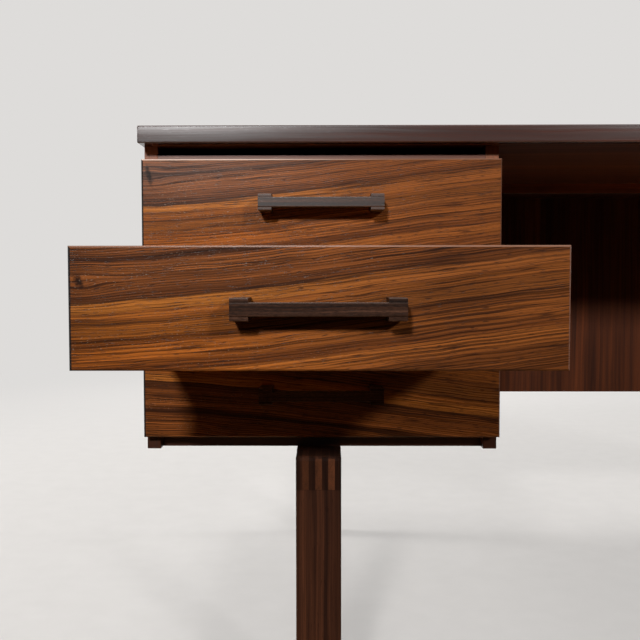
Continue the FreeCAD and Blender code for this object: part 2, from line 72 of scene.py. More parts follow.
class Finish:
    """A material whose nodes are added with short calls."""

    def __init__(self, name):
        self.material = bpy.data.materials.new(name)
        self.material.use_nodes = True
        self.tree = self.material.node_tree
        self.tree.nodes.clear()
        place = self.add("ShaderNodeTexCoord")
        split = self.add("ShaderNodeSeparateXYZ")
        self.feed(split.inputs[0], place.outputs["Object"])
        self.x, self.y, self.z = (self.math("MULTIPLY", one, MM) for one in split.outputs)
        turned = self.add("ShaderNodeSeparateXYZ")
        self.feed(turned.inputs[0], place.outputs["Normal"])
        self.nx, self.ny, self.nz = turned.outputs

    def add(self, kind, **settings):
        node = self.tree.nodes.new(kind)
        for name, value in settings.items():
            setattr(node, name, value)
        return node

    def feed(self, socket, value):
        if isinstance(value, bpy.types.NodeSocket):
            self.tree.links.new(value, socket)
        else:
            socket.default_value = value

    def math(self, operation, *values):
        node = self.add("ShaderNodeMath", operation=operation)
        for socket, value in zip(node.inputs, values):
            self.feed(socket, value)
        return node.outputs[0]

    def total(self, *values):
        """The sum of several values."""
        result = values[0]
        for value in values[1:]:
            result = self.math("ADD", result, value)
        return result

    def times(self, *values):
        """The product of several values."""
        result = values[0]
        for value in values[1:]:
            result = self.math("MULTIPLY", result, value)
        return result

    def square(self, value):
        return self.math("POWER", value, 2.0)

    def size(self, value):
        """The value without its sign."""
        return self.math("ABSOLUTE", value)

    def step(self, value, low, high, start=0.0, end=1.0):
        """A smooth step from start at low to end at high."""
        node = self.add("ShaderNodeMapRange", interpolation_type="SMOOTHSTEP", clamp=True)
        for name, one in (("Value", value), ("From Min", low), ("From Max", high), ("To Min", start),
                          ("To Max", end)):
            self.feed(node.inputs[name], one)
        return node.outputs[0]

    def share(self, value, low, high):
        """How far the value has come from low to high, from 0 to 1."""
        node = self.add("ShaderNodeMapRange", clamp=True)
        for name, one in (("Value", value), ("From Min", low), ("From Max", high)):
            self.feed(node.inputs[name], one)
        return node.outputs[0]

    def place(self, x, y, z):
        node = self.add("ShaderNodeCombineXYZ")
        for socket, value in zip(node.inputs, (x, y, z)):
            self.feed(socket, value)
        return node.outputs[0]

    def noise(self, x, y, z, detail=2.0, rough=0.5):
        """Smooth noise from 0 to 1 at the place x, y, z, in which one wave is 1 long."""
        node = self.add("ShaderNodeTexNoise", noise_dimensions="3D")
        for name, value in (("Vector", self.place(x, y, z)), ("Scale", 1.0), ("Detail", detail),
                            ("Roughness", rough), ("Distortion", 0.0)):
            self.feed(node.inputs[name], value)
        return node.outputs[0]

    def waves(self, first, second, each_first, each_second, z, **looks):
        """Noise with so many waves to the millimetre along each of two ways."""
        return self.noise(self.times(first, each_first), self.times(second, each_second), z, **looks)

    def sway(self, noise, width):
        """Noise from 0 to 1 as a sway of this width about zero."""
        return self.math("MULTIPLY_ADD", noise, width, -width / 2)

    def cells(self, x, y, z):
        """Distance to the nearest of scattered points, with one cell about 1 wide."""
        node = self.add("ShaderNodeTexVoronoi", voronoi_dimensions="3D")
        self.feed(node.inputs["Vector"], self.place(x, y, z))
        self.feed(node.inputs["Scale"], 1.0)
        return node.outputs["Distance"]

    def ramp(self, value, low, high, stops):
        """A colour that runs through the stops, each a place between low and high and a tone."""
        node = self.add("ShaderNodeValToRGB")
        self.feed(node.inputs[0], self.share(value, low, high))
        stops = [((place - low) / (high - low), tone(*colour)) for place, colour in stops]
        points = node.color_ramp.elements
        points[0].position, points[0].color = stops[0]
        points[1].position, points[1].color = stops[-1]
        for place, colour in stops[1:-1]:
            points.new(place).color = colour
        return node.outputs[0]

    def curve(self, value, low, high, points, height):
        """A smooth curve through the given points, from -height to height over low to high."""
        node = self.add("ShaderNodeFloatCurve")
        line = node.mapping.curves[0]
        spots = [((place - low) / (high - low), 0.5 + rise / (2 * height)) for place, rise in points]
        line.points[0].location = spots[0]
        line.points[1].location = spots[-1]
        for spot in spots[1:-1]:
            line.points.new(*spot)
        node.mapping.update()
        self.feed(node.inputs["Value"], self.share(value, low, high))
        return self.math("MULTIPLY_ADD", node.outputs[0], 2 * height, -height)

    def mix(self, amount, low, high, how="MIX"):
        """A colour mixed from low towards high."""
        node = self.add("ShaderNodeMix", data_type="RGBA", blend_type=how, clamp_factor=True)
        for number, value in ((0, amount), (6, low), (7, high)):
            self.feed(node.inputs[number], value)
        return node.outputs[2]

    def shade(self, colour, amount):
        """The colour made lighter or darker by a factor."""
        node = self.add("ShaderNodeVectorMath", operation="SCALE")
        self.feed(node.inputs[0], colour if isinstance(colour, bpy.types.NodeSocket) else colour[:3])
        self.feed(node.inputs["Scale"], amount)
        return node.outputs[0]

    def vary(self, colour, pattern, slope, base):
        """The colour made lighter or darker by slope times a pattern plus base."""
        return self.shade(colour, self.math("MULTIPLY_ADD", pattern, slope, base))

    def bump(self, height, distance, under=None):
        """The surface's tilt under a pattern of heights, in which 1 stands for this distance in metres."""
        node = self.add("ShaderNodeBump")
        self.feed(node.inputs["Strength"], 1.0)
        self.feed(node.inputs["Distance"], distance)
        self.feed(node.inputs["Height"], height)
        if under is not None:
            self.feed(node.inputs["Normal"], under)
        return node.outputs[0]

    def done(self, **values):
        """Ends the material in one surface shader and gives it back."""
        shader = self.add("ShaderNodeBsdfPrincipled")
        for name, value in values.items():
            self.feed(shader.inputs[name.replace("_", " ")], value)
        end = self.add("ShaderNodeOutputMaterial")
        self.feed(end.inputs[0], shader.outputs[0])
        return self.material


def dress(material, *names):
    """Gives the material to the named nodes."""
    for name in names:
        slots = nodes[name].material_slots
        if not slots:
            nodes[name].data.materials.append(material)
        for slot in slots:
            slot.link = "OBJECT"
            slot.material = material


# Wood in general
def wood_lines(f, along, across, depth, seed, fine=1.0):
    """Fibres, streaks, clouds and pores of a board, from 0 to 1, from its three ways in millimetres."""
    seed = float(seed)
    fibre = f.waves(along, across, 0.005, 0.62 * fine, f.total(f.times(depth, 0.3), seed), rough=0.6)
    streak = f.waves(along, across, 0.0035, 0.16 * fine, f.total(f.times(depth, 0.1), seed + 7.3), rough=0.55)
    cloud = f.waves(along, across, 0.012, 0.022, f.total(f.times(depth, 0.02), seed + 3.1), detail=1.0)
    pore = f.waves(along, across, 0.1, 1.15, f.total(f.times(depth, 0.6), seed + 11.7), detail=1.0, rough=0.4)
    return fibre, streak, cloud, pore


def wood_relief(f, fibre, dark_pore, bulge=None):
    """Fibres stand out a little and pores lie deep. A bulge is its middle's height and a curve.

    The rounds above a bulging face are smoother, so that no single fibre glints there.
    """
    height = f.total(f.times(fibre, 0.5), f.times(dark_pore, -1.0))
    if bulge is None:
        return f.bump(height, RELIEF)
    height = f.times(height, f.step(f.nz, 0.02, 0.08, 1.0, 0.12))
    middle, curve = bulge
    rise = f.square(f.times(f.math("SUBTRACT", f.z, middle), 1 / MM))
    return f.bump(f.times(rise, -curve), 1.0, under=f.bump(height, RELIEF / 2))


# Tones across the fronts' leaf of veneer, in millimetres from its upper edge; one ramp can't hold them all
LEAF_START, LEAF_TURN, LEAF_END = -8, 109, 168
LEAF_UPPER = (
    (-8, (118, 66, 32)), (3, (122, 68, 32)), (13.5, (104, 57, 28)), (15.5, (50, 25, 12)), (19, (56, 28, 14)),
    (21.5, (112, 62, 31)), (27, (126, 71, 35)), (32, (118, 66, 32)), (37, (104, 57, 28)), (41, (114, 63, 31)),
    (46, (84, 45, 22)), (50, (78, 41, 20)), (53, (58, 31, 15)), (54.4, (146, 87, 38)), (63.5, (152, 91, 40)),
    (65.2, (104, 57, 26)), (66.6, (132, 76, 33)), (70, (122, 69, 30)), (71, (92, 50, 22)),
    (72.5, (110, 63, 28)), (80, (104, 60, 26)), (88, (112, 64, 28)), (89.5, (74, 39, 17)),
    (91, (112, 63, 28)), (92.5, (76, 40, 18)), (94, (126, 71, 32)), (101, (134, 76, 34)),
    (109, (120, 67, 31)))
LEAF_LOWER = (
    (109, (120, 67, 31)), (110.5, (78, 41, 19)), (112, (104, 57, 27)), (114, (72, 37, 17)),
    (116, (100, 54, 26)), (118, (82, 43, 20)), (119.5, (134, 77, 35)), (126, (146, 84, 38)),
    (133, (128, 72, 33)), (135, (76, 40, 19)), (138, (110, 61, 29)), (141, (72, 38, 18)),
    (144, (112, 63, 29)), (147, (76, 40, 19)), (151, (104, 58, 28)), (154, (70, 36, 17)),
    (160, (100, 55, 27)), (168, (84, 45, 22)))
# How the leaf's lines run along its length: a steady slope, and a wave of places along it and rises
LEAF_LENGTH = 440
LEAF_SLOPE_SHARE = 0.1
WAVE_HEIGHT = 8.0
LEAF_WAVE = ((0, 4.0), (35, 1.7), (67, 0.5), (110, 0.1), (157, -0.6), (200, 0.0), (240, 1.0), (290, 2.2),
             (340, 4.0), (390, 5.0), (440, 6.3))
# Filters that warm the whole leaf, and its lower left
WARM = (1.0, 0.97, 0.74, 1)
WARMER = (1.0, 0.92, 0.66, 1)
LEAF_MEAN = tone(108, 58, 23)
LEAF_GOLD_MEAN = tone(114, 62, 27)
# Painted haze: a reflection in the lacquer
PAINTED_HAZE = tone(176, 152, 140)
HAIRLINE = tone(42, 20, 9)
OPEN_PORE = tone(38, 18, 8)
# Painted glints of the pores
PORE_GLINT = tone(166, 144, 124)
KNOT = tone(26, 12, 6)
# Painted highlights of the right and the top bevels of the drawer fronts
RIGHT_BEVEL_GLINT = tone(112, 76, 60)
TOP_BEVEL_GLINT = tone(160, 118, 96)
# How close three sorts of hairlines lie, in waves to the millimetre
HAIRLINES_APART = (0.26, 0.19, 0.42)
# How far along and across it the grain parts around a knot, in millimetres
KNOT_PULL_LENGTH, KNOT_PULL_HEIGHT = 26.0, 12.0


def leaf_bands(f, along, across, seed, calm):
    """The leaf's broad bands of colour, and the place across them that each point takes its tone from."""
    # Neighbouring tones mingle line by line
    fray = f.waves(along, across, 0.006, 0.36, seed + 40.0)
    band = f.total(across, f.sway(fray, 9.0))
    upper = f.ramp(band, LEAF_START, LEAF_TURN, LEAF_UPPER)
    lower = f.ramp(band, LEAF_TURN, LEAF_END, LEAF_LOWER)
    colour = f.mix(f.math("GREATER_THAN", band, float(LEAF_TURN)), upper, lower)
    colour = f.mix(1.0, colour, WARM, "MULTIPLY")
    # The bands even out to the right, and the golden one a second time
    colour = f.mix(f.step(along, 140.0, 380.0, 0.08, calm), colour, LEAF_MEAN)
    gold = f.times(f.step(band, 53.0, 54.5), f.step(band, 67.0, 64.0), f.step(along, 110.0, 300.0, 0.0, calm))
    return band, f.mix(gold, colour, LEAF_GOLD_MEAN)


def growth_lines(f, along, across, band, seed):
    """How dark the lines are, 2 to 3 mm apart. Each darkens slowly, ends sharply and fades in and out."""
    drift = f.waves(along, across, 0.004, 0.05, seed + 2.1, detail=1.0)
    closer = f.times(f.math("MINIMUM", across, 54.0), 0.12)
    rings = f.math("FRACT", f.total(f.times(across, 0.31), closer, f.times(drift, 1.8)))
    strong = f.waves(along, across, 0.009, 0.24, seed + 8.8, detail=1.0)
    depth = f.total(f.step(strong, 0.36, 0.62, 0.1, 0.6), f.step(across, 58.0, 50.0, 0.0, 0.26))
    # They hardly show on the golden band
    golden = f.times(f.step(band, 53.5, 54.5), f.step(band, 76.0, 62.0))
    depth = f.times(depth, f.math("MULTIPLY_ADD", golden, -0.7, 1.0))
    return f.times(f.step(rings, 0.42, 0.84), f.step(rings, 1.0, 0.94), depth)


def leaf_light(f, colour, along, across, light):
    """The leaf is darker to the right, most of all low down, and warmer and lighter low on the left."""
    dim = f.times(f.step(along, 100.0, 400.0), f.step(across, 50.0, 140.0, -0.11, -0.26))
    warm = f.times(f.step(across, 58.0, 76.0), f.step(along, 240.0, 100.0))
    colour = f.mix(warm, colour, f.mix(1.0, colour, WARMER, "MULTIPLY"))
    return f.shade(colour, f.total(light, dim, f.times(warm, 0.1)))


def hairlines(f, colour, along, across, seed):
    """Thin dark hairlines that join and part."""
    for line, apart in enumerate(HAIRLINES_APART):
        web = f.waves(along, across, 0.003, apart, seed + 17.0 + 9.0 * line, detail=1.0)
        web = f.size(f.math("SUBTRACT", web, 0.5))
        colour = f.mix(f.step(web, 0.022, 0.004, 0.0, 0.68), colour, HAIRLINE)
    return colour


def knot_core(f, colour, along, down, aside, beneath, knot_wide, knot_tall, seed):
    """A knot's dark core, which has a ragged outline and leans a little."""
    rag = f.waves(along, down, 0.35, 0.35, seed + 50.0)
    lean = f.total(aside, f.times(beneath, -0.25))
    core = f.total(f.square(f.math("DIVIDE", lean, knot_wide)),
                   f.square(f.math("DIVIDE", beneath, knot_tall)), f.times(rag, 2.6))
    return f.mix(f.step(core, 3.4, 1.2, 0.0, 0.92), colour, KNOT)


def painted_pore_glints(f, colour, along, across, seed):
    """Painted glints of the pores, in patches, most of all on the left."""
    fleck = f.waves(along, across, 0.4, 1.0, seed + 23.0, detail=1.0)
    patch = f.waves(along, across, 0.012, 0.06, seed + 31.0, detail=1.0)
    amount = f.times(f.step(fleck, 0.64, 0.75), f.step(patch, 0.4, 0.58),
                     f.step(along, 380.0, 60.0, 0.04, 0.42))
    return f.mix(amount, colour, PORE_GLINT)


def front_bevels(f, colour, along, painted_glint):
    """Darker bevels, a painted shade line at the left end, and painted highlights on the right and top
    bevels.
    """
    flat = f.step(f.size(f.ny), 0.8, 0.95)
    colour = f.mix(flat, f.shade(colour, 0.8), colour)
    # Painted shade: a dark line along the left end and its bevel
    left_end_shade = f.math("MAXIMUM", f.step(f.nx, -0.5, -0.7), f.step(along, 2.7, 1.9))
    colour = f.mix(left_end_shade, colour, f.shade(colour, 0.06))
    # Painted highlights: the right bevel and the top bevel are paler
    colour = f.mix(f.step(f.nx, 0.5, 0.7, 0.0, 0.7), colour, RIGHT_BEVEL_GLINT)
    top_glint_mask = f.step(f.nz, 0.5, 0.7, 0.0, 0.6)
    colour = f.mix(top_glint_mask, colour, TOP_BEVEL_GLINT)
    # A painted highlight on the top bevel, strongest towards the left
    if painted_glint is not None:
        colour = f.mix(f.times(top_glint_mask, f.step(along, 320.0, 90.0, 0.0, 1.6)), colour, painted_glint)
    return left_end_shade, colour


def front_finish(name, drawer, upturned=False, shift=0.0, seed=0.0, knot=(9.5, 31.5, 3.4, 5.6), light=1.02,
                 painted_glint=None, calm=0.56, painted_haze=0.0):
    """Lacquered veneer of one drawer front, whose grain rises to the right, or falls when it's upturned.

    shift: how many millimetres the leaf's bands move up the front. knot: a knot's place along and down the
    front, and its half width and height. light: how light the leaf is. painted_glint: the tone of a painted
    highlight on the top bevel towards the left. calm: how far the bands even out to the right. painted_haze:
    how strongly a painted haze, a reflection in the lacquer, covers the upper left.
    """
    f = Finish(name)
    low, high = box_mm(drawer + "_front")
    along = f.math("SUBTRACT", f.x, low.x)
    down = f.math("SUBTRACT", f.z, low.z) if upturned else f.math("SUBTRACT", high.z, f.z)
    across = f.total(down, f.times(along, LEAF_SLOPE_SHARE),
                     f.curve(along, 0, LEAF_LENGTH, LEAF_WAVE, WAVE_HEIGHT), float(shift))
    wander = f.waves(along, down, 0.012, 0.016, seed + 1.7, detail=1.0)
    ripple = f.waves(along, down, 0.022, 0.05, seed + 5.9, detail=1.0)
    across = f.total(across, f.sway(wander, 3.0), f.sway(ripple, 2.6))
    # Grain parts around the knot
    knot_along, knot_down, knot_wide, knot_tall = knot
    aside = f.math("SUBTRACT", along, knot_along)
    beneath = f.math("SUBTRACT", down, knot_down)
    reach = f.total(f.square(f.math("DIVIDE", aside, KNOT_PULL_LENGTH)),
                    f.square(f.math("DIVIDE", beneath, KNOT_PULL_HEIGHT)))
    pull = f.math("EXPONENT", f.times(reach, -1.0))
    across = f.math("SUBTRACT", across, f.times(beneath, pull, 0.8))

    band, colour = leaf_bands(f, along, across, seed, calm)
    fibre, streak, cloud, pore = wood_lines(f, along, across, f.y, seed, fine=1.15)
    colour = f.vary(colour, growth_lines(f, along, across, band, seed), -1.0, 1.25)
    colour = f.vary(colour, fibre, 1.9, 0.1)
    colour = f.vary(colour, streak, 0.8, 0.63)
    colour = f.vary(colour, cloud, 0.4, 0.8)
    colour = leaf_light(f, colour, along, across, light)
    # A painted haze, a reflection in the lacquer, lightens the upper left
    if painted_haze:
        haze_patch = f.times(f.step(along, 300.0, 30.0), f.step(down, 70.0, 10.0, 0.0, painted_haze))
        colour = f.mix(haze_patch, colour, PAINTED_HAZE)
    colour = hairlines(f, colour, along, across, seed)
    dark_pore = f.step(pore, 0.39, 0.28, 0.0, 0.7)
    colour = f.mix(dark_pore, colour, OPEN_PORE)
    colour = knot_core(f, colour, along, down, aside, beneath, knot_wide, knot_tall, seed)
    colour = painted_pore_glints(f, colour, along, across, seed)
    left_end_shade, colour = front_bevels(f, colour, along, painted_glint)
    dull = f.math("MULTIPLY_ADD", left_end_shade, 0.5, 0.24)
    return f.done(Base_Color=colour, Roughness=f.math("MULTIPLY_ADD", fibre, 0.08, dull),
                  Specular_IOR_Level=0.18, Normal=wood_relief(f, fibre, dark_pore))


# A board's broad tones run over this range of its pattern
TONES_LOW, TONES_HIGH = 0.28, 0.72
# Heights over which the front edges of the case change from the low to the high tone, in millimetres;
# the high tone's extra lightness is painted sheen
EDGE_SHEEN_FROM, EDGE_SHEEN_TO = 360.0, 690.0
# How light cut ends are at three places of their pattern
END_LIGHTS = ((0.2, 0.62), (0.5, 1), (0.75, 1.12))


def turned_ways(f, end_from, front, back):
    """Ways of a board whose pieces at the two ends, between the others, have grain that runs across."""
    where = f.times(f.math("GREATER_THAN", f.size(f.x), end_from), f.math("GREATER_THAN", f.y, front),
                    f.math("LESS_THAN", f.y, back))
    change = f.times(f.math("SUBTRACT", f.y, f.x), where)
    facing = f.total(f.nx, f.times(f.math("SUBTRACT", f.ny, f.nx), where))
    return f.total(f.x, change), f.math("SUBTRACT", f.y, change), facing


def end_grain(f, along, first, second, seed, end, uneven):
    """The tones of cut ends, which darken outwards at uneven, a distance from the desk's middle plane."""
    spots = f.cells(f.times(first, 0.9), f.times(second, 0.9), f.times(along, 0.02))
    ring = f.waves(first, second, 0.2, 0.06, seed + 4.4)
    tones = [(place, [part * light for part in end]) for place, light in END_LIGHTS]
    cut = f.ramp(f.total(f.times(ring, 0.6), f.times(spots, 0.4)), END_LIGHTS[0][0], END_LIGHTS[-1][0], tones)
    if uneven is not None:
        aside = f.math("SUBTRACT", f.size(f.x), uneven)
        cut = f.shade(cut, f.step(aside, 20.0, -20.0, 0.66, 1.04))
    return cut


def board_finish(name, grain, stops, seed, rough=0.34, gloss=0.12, contrast=1.0, fine=1.0, spread=60.0,
                 grit=None, turned=None, end=None, uneven=None, cut_from=(0.75, 0.9), edge=None, painted_edge_glint=None,
                 dim_above=None, below=None, matt_top=False, bulge=None):
    """Lacquered wood whose grain runs along one axis; stops are its tones from dark to light.

    contrast: how strong its lines are. fine: how close they lie. spread: how wide its broad bands are.
    grit: how strong short specks are. turned: see turned_ways. end: tone of cut ends, on faces that look
    along the grain by cut_from or more. uneven: see end_grain. edge: tones of the front edges, low and high,
    where the lighter high tone is painted sheen near the desktop. painted_edge_glint: tone of a painted
    highlight on the upper front edges. dim_above: height above which it is darker. below: share of its light
    that the underside keeps. matt_top: whether upper faces are dull. bulge: see wood_relief.
    """
    f = Finish(name)
    ways = {"x": (f.x, f.y, f.z, f.nx), "y": (f.y, f.x, f.z, f.ny), "z": (f.z, f.x, f.y, f.nz)}
    along, first, second, facing = ways[grain]
    if turned is not None:
        along, first, facing = turned_ways(f, *turned)
    across = f.total(first, f.times(second, 0.83))
    wander = f.waves(along, across, 0.004, 0.01, seed + 2.2)
    across = f.total(across, f.sway(wander, 16.0))
    depth = f.total(first, f.times(second, -0.7))
    fibre, streak, cloud, pore = wood_lines(f, along, across, depth, seed, fine)
    wide = f.waves(along, across, 0.0012, 1.6 / spread, seed + 9.4, detail=3.0, rough=0.6)
    tones = [(TONES_LOW + (TONES_HIGH - TONES_LOW) * share, colour) for share, colour in stops]
    colour = f.ramp(f.total(f.times(wide, 0.62), f.times(streak, 0.38)), TONES_LOW, TONES_HIGH, tones)
    colour = f.vary(colour, fibre, 1.1 * contrast, 1 - 0.55 * contrast)
    colour = f.vary(colour, cloud, 0.3, 0.85)
    dark_pore = f.step(pore, 0.34, 0.26, 0.0, 0.5 * contrast)
    colour = f.mix(dark_pore, colour, f.shade(colour, 0.4))
    if grit is not None:
        specks = f.waves(along, across, 0.2, 1.0, seed + 60.0, rough=0.6)
        colour = f.vary(colour, specks, 2.0 * grit, 1 - grit)
    if end is not None:
        cut = end_grain(f, along, first, second, seed, end, uneven)
        colour = f.mix(f.step(f.size(facing), *cut_from), colour, cut)
    if edge is not None:
        # The front edges lighten with height: painted sheen near the desktop
        lipping = f.mix(f.step(f.z, EDGE_SHEEN_FROM, EDGE_SHEEN_TO), *edge)
        lipping = f.shade(lipping, f.total(f.times(fibre, 0.9), f.times(streak, 0.5), 0.3))
        colour = f.mix(f.step(f.size(f.ny), 0.6, 0.8), colour, lipping)
    if dim_above is not None:
        colour = f.shade(colour, f.step(f.z, dim_above - 1, dim_above, 1.0, 0.55))
    if below is not None:
        colour = f.shade(colour, f.step(f.nz, -0.5, -0.7, 1.0, below))
    # Painted highlight along the upper front edges
    if painted_edge_glint is not None:
        painted_glint = f.times(f.step(f.nz, 0.45, 0.8), f.step(f.ny, 0.2, -0.2),
                      f.math("MULTIPLY_ADD", streak, 0.8, 0.2))
        colour = f.mix(painted_glint, colour, painted_edge_glint)
    sheen = f.total(f.times(fibre, -0.16 * contrast), f.times(streak, -0.1), rough + 0.08 * contrast + 0.05)
    if matt_top:
        sheen = f.total(sheen, f.step(f.nz, 0.03, 0.16, 0.0, 0.5))
    return f.done(Base_Color=colour, Roughness=sheen, Specular_IOR_Level=gloss,
                  Normal=wood_relief(f, fibre, dark_pore, bulge))


# Drawer fronts. A knot this far to the left of the front leaves it without one
KNOT_OFF_FRONT = (-60, 33, 3, 5)
# Painted highlight of the top front's top bevel towards the left
PAINTED_TOP_GLINT = tone(236, 208, 190)
FRONTS = {
    "left_middle": {},
    # The top front is lighter, partly its own tone and partly painted sheen, and has a painted highlight and
    # a painted haze
    "left_top": dict(shift=-6.5, seed=0.6, knot=(9.5, 20, 3, 11), light=1.16, painted_glint=PAINTED_TOP_GLINT, painted_haze=0.12),
    "left_bottom": dict(upturned=True, shift=-21, seed=2.9, knot=KNOT_OFF_FRONT, light=1.1, calm=0.15),
    "right_middle": dict(shift=9, seed=14.2, knot=(352, 70, 3, 4)),
    "right_top": dict(shift=7, seed=12.8, knot=(355, 66, 3, 5)),
    "right_bottom": dict(upturned=True, shift=9, seed=16.1, knot=(349, 72, 3, 4)),
}
for place, leaf in FRONTS.items():
    dress(front_finish("front_" + place, place + "_drawer", **leaf), place + "_drawer_front")

# Tones of the woods, each a share of the way from dark to light and its colour
ROSEWOOD = ((0, (34, 17, 10)), (0.3, (66, 34, 20)), (0.6, (96, 52, 29)), (0.85, (122, 68, 36)),
            (1, (142, 82, 42)))
LIPPING = ((0, (36, 16, 11)), (0.5, (58, 28, 19)), (1, (82, 43, 31)))
CASE = ((0, (30, 13, 7)), (0.35, (52, 25, 13)), (0.7, (74, 37, 19)), (1, (96, 49, 25)))
# The stretcher's tones are the case's, 1.7 times lighter: painted light on it under the desktop
STRETCHER_PAINTED_LIGHT = [(share, [part * 1.7 for part in colour]) for share, colour in CASE]
TRESTLE = ((0, (26, 13, 9)), (0.4, (46, 25, 16)), (0.75, (64, 36, 23)), (1, (80, 46, 29)))
WENGE = ((0, (24, 13, 8)), (0.45, (50, 30, 20)), (0.8, (76, 50, 37)), (1, (108, 78, 60)))
BEECH = ((0, (150, 112, 76)), (0.5, (172, 134, 94)), (1, (190, 152, 112)))
OAK = ((0, (150, 108, 66)), (0.5, (176, 134, 88)), (1, (196, 156, 108)))
OAK_END = (160, 120, 78)
PLY = ((0, (168, 128, 84)), (0.5, (184, 146, 100)), (1, (200, 162, 116)))
# Front edge tones, low and high; the lighter high tone is painted sheen
CASE_EDGE_SHEEN = (tone(60, 28, 12), tone(126, 74, 46))
BOARD_EDGE_SHEEN = (tone(66, 33, 18), tone(98, 54, 33))

# Desktop
slab_low, slab_high = box_mm("desktop_lippings")
panel_low, panel_high = box_mm("desktop_panel")
dress(board_finish("desktop_veneer", "x", ROSEWOOD, 41, end=(80, 45, 27)), "desktop_panel")
dress(board_finish("dark_lipping", "x", LIPPING, 43, rough=0.225, gloss=1.0, contrast=0.7, fine=1.2,
                   spread=24, turned=(panel_high.x, panel_low.y, panel_high.y), end=(44, 28, 22),
                   matt_top=True, bulge=((slab_low.z + slab_high.z) / 2, 1.4)), "desktop_lippings")

# Case
dress(board_finish("case_veneer_upright", "z", CASE, 51, gloss=0.34, edge=CASE_EDGE_SHEEN), "left_outer_side",
      "left_inner_side", "right_inner_side", "right_outer_side", "bookcase_dividers")
dress(board_finish("case_veneer_partition", "z", CASE, 53, contrast=0.6), "partition_panel")
dress(board_finish("case_veneer_level", "x", CASE, 55, gloss=0.5, edge=BOARD_EDGE_SHEEN), "left_pedestal_top",
      "right_pedestal_top", "left_pedestal_bottom", "right_pedestal_bottom", "bookcase_bottom")
dress(board_finish("case_veneer_stretcher", "x", STRETCHER_PAINTED_LIGHT, 56, gloss=0.3, below=0.2), "kneehole_stretcher")
dress(board_finish("runner_beech", "y", BEECH, 57, rough=0.5, contrast=0.3), "left_drawer_runners",
      "right_drawer_runners")

# Trestles
rail_low, rail_high = box_mm("left_trestle_rail")
dress(board_finish("leg_rosewood", "z", TRESTLE, 61, gloss=0.08, contrast=1.4, spread=14, end=(60, 34, 21),
                   dim_above=rail_low.z, matt_top=True),
      "left_front_leg", "left_rear_leg", "right_front_leg", "right_rear_leg")
dress(board_finish("rail_rosewood", "y", TRESTLE, 63, gloss=0.08, spread=26, end=(76, 43, 26),
                   uneven=(rail_low.x + rail_high.x) / -2, cut_from=(0.89, 0.96), matt_top=True),
      "left_trestle_rail", "right_trestle_rail")

# Drawer boxes and handles
oak_sides = board_finish("drawer_oak_sides", "y", OAK, 71, rough=0.45, contrast=0.5, end=OAK_END)
oak_back = board_finish("drawer_oak_back", "x", OAK, 73, rough=0.45, contrast=0.5, end=OAK_END)
ply = board_finish("drawer_ply", "x", PLY, 75, rough=0.45, contrast=0.4)
HANDLE_GLOSS = {"top": 0.44, "middle": 0.08, "bottom": 0.08}
FIRST_HANDLE_SEED = 77
# The handles take a painted highlight along their upper front edges
wenge = {level: board_finish("handle_wenge_" + level, "x", WENGE, seed, rough=0.4, gloss=HANDLE_GLOSS[level],
                             contrast=1.8, fine=1.3, spread=9, grit=1.1, end=(50, 32, 24),
                             painted_edge_glint=tone(118, 98, 88))
         for seed, level in enumerate(LEVELS, FIRST_HANDLE_SEED)}
for side in SIDES:
    for level in LEVELS:
        drawer = f"{side}_{level}_drawer"
        dress(oak_sides, drawer + "_left_side", drawer + "_right_side")
        dress(oak_back, drawer + "_back")
        dress(ply, drawer + "_bottom")
        dress(wenge[level], drawer + "_handle")


# Metal and plastic
def mottle(f, each, detail):
    """Noise with this many waves to the millimetre each way."""
    return f.noise(f.times(f.x, each), f.times(f.y, each), f.times(f.z, each), detail=detail)


def steel_finish():
    """Zinc-plated steel, turned, with a faint mottle."""
    f = Finish("screw_steel")
    blotch = mottle(f, 0.9, 3.0)
    colour = f.ramp(blotch, 0.3, 0.7, [(0.3, (128, 128, 130)), (0.7, (176, 176, 178))])
    return f.done(Base_Color=colour, Metallic=1.0, Roughness=f.math("MULTIPLY_ADD", blotch, 0.25, 0.22))


def nylon_finish():
    """Black moulded nylon with a fine matt skin."""
    f = Finish("glide_nylon")
    skin = mottle(f, 1.6, 2.0)
    colour = f.ramp(skin, 0.3, 0.7, [(0.3, (26, 25, 24)), (0.7, (42, 40, 38))])
    return f.done(Base_Color=colour, Roughness=0.6, IOR=1.53, Normal=f.bump(skin, 0.00008))


steel = steel_finish()
dress(steel, "trestle_screws")
dress(nylon_finish(), "floor_glides")


# Handle screws. Rings of a head, in millimetres: how far out each lies and how high, or on the dome
HEAD_STEPS = 32
HEAD_RINGS = ((3.6, -0.2), (3.8, 0.3), (3.8, 0.8), (3.4, 1.4), (2.9, None))
DOME_HEIGHT, DOME_FALL = 2.1, 0.06
SLOT_HALF_WIDTH, SLOT_HALF_LENGTH, SLOT_FLOOR = 0.5, 2.7, 0.9
# From a handle's end to its screw, in metres, and how far the left and right screw are turned, in degrees
SCREW_INSET = 0.008
SCREW_TURNS = (20, 65)


